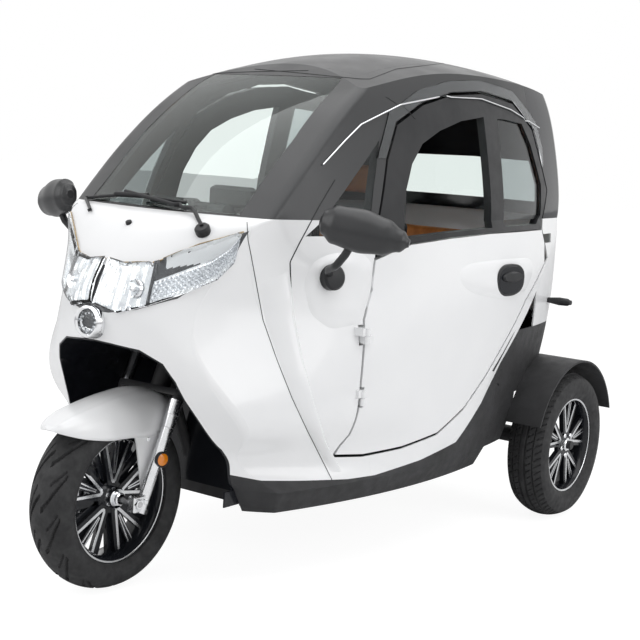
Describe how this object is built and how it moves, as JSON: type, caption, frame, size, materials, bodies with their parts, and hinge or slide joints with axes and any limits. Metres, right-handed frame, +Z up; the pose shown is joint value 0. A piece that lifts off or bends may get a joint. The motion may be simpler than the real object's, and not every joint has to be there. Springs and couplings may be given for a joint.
{
  "type": "enclosed three-wheel mobility scooter",
  "caption": "Enclosed mobility scooter with one steered front wheel, a hollow cabin with hinged side doors, seats, and driven rear wheels under wide fenders.",
  "frame": {"origin": "centre of the overall box on the ground", "axes": "+X to the vehicle's left, +Y to its rear, +Z up; the front wheel faces -Y"},
  "size_m": [1.3348, 2.154, 1.4905],
  "materials": {
    "white_paint": "gloss",
    "grey_paint": "satin metallic",
    "black_gloss": "gloss",
    "dark_plastic": "matte grained",
    "frame_steel": "satin black",
    "alloy": "machined and painted",
    "steel": "brushed",
    "tyre": "matte",
    "screen_glass": "clear with a green tint",
    "tinted_glass": "grey tint",
    "lamp_clear": "clear lens over chrome",
    "clear_plastic": "clear",
    "leather": "tan",
    "battery": "matte"
  },
  "bodies": {
    "chassis": {"chassis_frame": "frame_steel", "battery_block": "battery", "floor_tub": "dark_plastic", "arch_liner": "black_gloss", "front_cowl": "white_paint", "headlamps": "lamp_clear", "side_panels": "white_paint", "lower_bands": "white_paint", "sills": "dark_plastic", "rear_body": "white_paint", "rear_tub": "dark_plastic", "roof_panel": "grey_paint", "windscreen": "screen_glass", "pillars": "grey_paint", "quarter_glass": "tinted_glass", "rear_frame": "black_gloss", "rear_window": "tinted_glass", "rear_axle": "frame_steel", "rear_shocks": "steel", "rear_fenders": "dark_plastic", "seat_base": "dark_plastic", "seat_cushions": "leather", "seat_backs": "leather", "dashboard": "dark_plastic", "wiper": "dark_plastic", "mirrors": "grey_paint", "visors": "clear_plastic", "tail_lamps": "dark_plastic"},
    "steering": {"steering_stem": "frame_steel", "fork": "alloy", "front_axle": "frame_steel", "handlebar": "frame_steel", "front_fender": "white_paint"},
    "front_wheel": {"front_tyre": "tyre", "front_rim": "alloy", "brake_disc": "steel"},
    "rear_wheel_left": {"rear_tyre_left": "tyre", "rear_rim_left": "alloy"},
    "rear_wheel_right": {"rear_tyre_right": "tyre", "rear_rim_right": "alloy"},
    "door_left": {"door_panel_left": "white_paint", "door_frame_left": "black_gloss", "door_glass_left": "tinted_glass"},
    "door_right": {"door_panel_right": "white_paint", "door_frame_right": "black_gloss", "door_glass_right": "tinted_glass"}
  },
  "joints": [
    {"name": "steering", "type": "hinge", "parent": "chassis", "child": "steering", "pos_m": [0, -0.78275, 0.22063], "axis": [0, 0.4067, 0.9135], "range_deg": [-35, 35]},
    {"name": "front_wheel_spin", "type": "hinge", "parent": "steering", "child": "front_wheel", "pos_m": [0, -0.833, 0.243], "axis": [1, 0, 0], "continuous": true},
    {"name": "rear_wheel_left_spin", "type": "hinge", "parent": "chassis", "child": "rear_wheel_left", "pos_m": [0.503, 0.801, 0.247], "axis": [1, 0, 0], "continuous": true},
    {"name": "rear_wheel_right_spin", "type": "hinge", "parent": "chassis", "child": "rear_wheel_right", "pos_m": [-0.503, 0.801, 0.247], "axis": [1, 0, 0], "continuous": true},
    {"name": "door_left_hinge", "type": "hinge", "parent": "chassis", "child": "door_left", "pos_m": [0.446, -0.325, 0.6], "axis": [0, 0, -1], "range_deg": [0, 62]},
    {"name": "door_right_hinge", "type": "hinge", "parent": "chassis", "child": "door_right", "pos_m": [-0.446, -0.325, 0.6], "axis": [0, 0, 1], "range_deg": [0, 62]}
  ]
}
